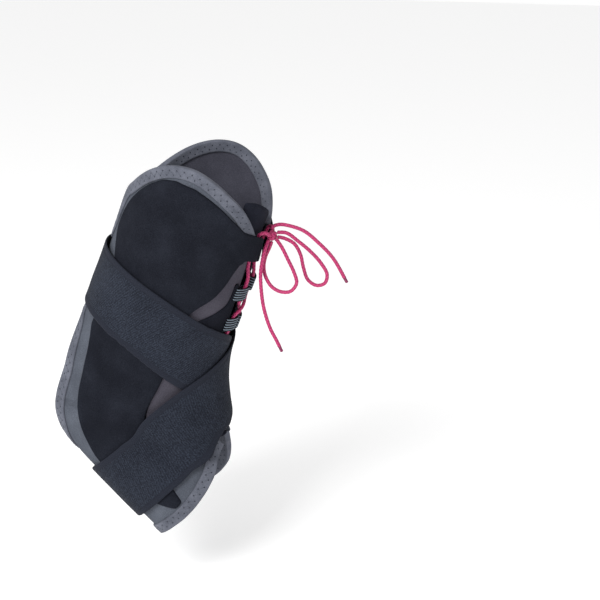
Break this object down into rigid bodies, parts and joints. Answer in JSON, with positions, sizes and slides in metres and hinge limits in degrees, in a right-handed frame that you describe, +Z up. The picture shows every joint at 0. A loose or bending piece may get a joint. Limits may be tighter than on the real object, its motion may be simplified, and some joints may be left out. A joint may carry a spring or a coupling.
{
  "type": "lace-up ankle brace",
  "caption": "Fabric ankle brace with laced front, padded side panels, open heel and an elastic strap wrapped in a figure of eight, laced and strapped as worn.",
  "frame": {"origin": "the centre of the ankle joint inside the brace, where the wearer's ankle holds it", "axes": "+Z up, +X the way the toes point seen from above, +Y to the wearer's medial side; a right foot, heel raised and sole sloping down to the toes"},
  "size_m": [0.209, 0.0987, 0.2867],
  "materials": {
    "base_cloth": "matt brushed cloth, mauve grey",
    "panel_cloth": "matt close-woven cloth, black",
    "tongue_cloth": "matt close-woven cloth, black",
    "binding": "matt tape, blue grey, with stitching",
    "strap_knit": "matt elastic knit, slate",
    "hook_tape": "matt hook tape, black",
    "loop_webbing": "ribbed webbing, black with grey stripes",
    "lace_cord": "smooth braided cord, magenta"
  },
  "bodies": {
    "root": {"shell": "base_cloth", "binding_top": "binding", "binding_instep": "binding", "binding_heel": "binding", "tongue": "tongue_cloth", "panel_lateral": "panel_cloth", "facing_lateral": "panel_cloth", "lace_loop_lateral_1": "loop_webbing", "lace_loop_lateral_2": "loop_webbing", "panel_medial": "panel_cloth", "facing_medial": "panel_cloth", "lace_loop_medial_1": "loop_webbing", "lace_loop_medial_2": "loop_webbing", "strap": "strap_knit", "strap_hook_tab": "hook_tape", "lace": "lace_cord", "knot": "lace_cord", "bow_loop_front": "lace_cord", "bow_loop_back": "lace_cord", "lace_tail_short": "lace_cord", "lace_tail_long": "lace_cord"}
  },
  "joints": []
}
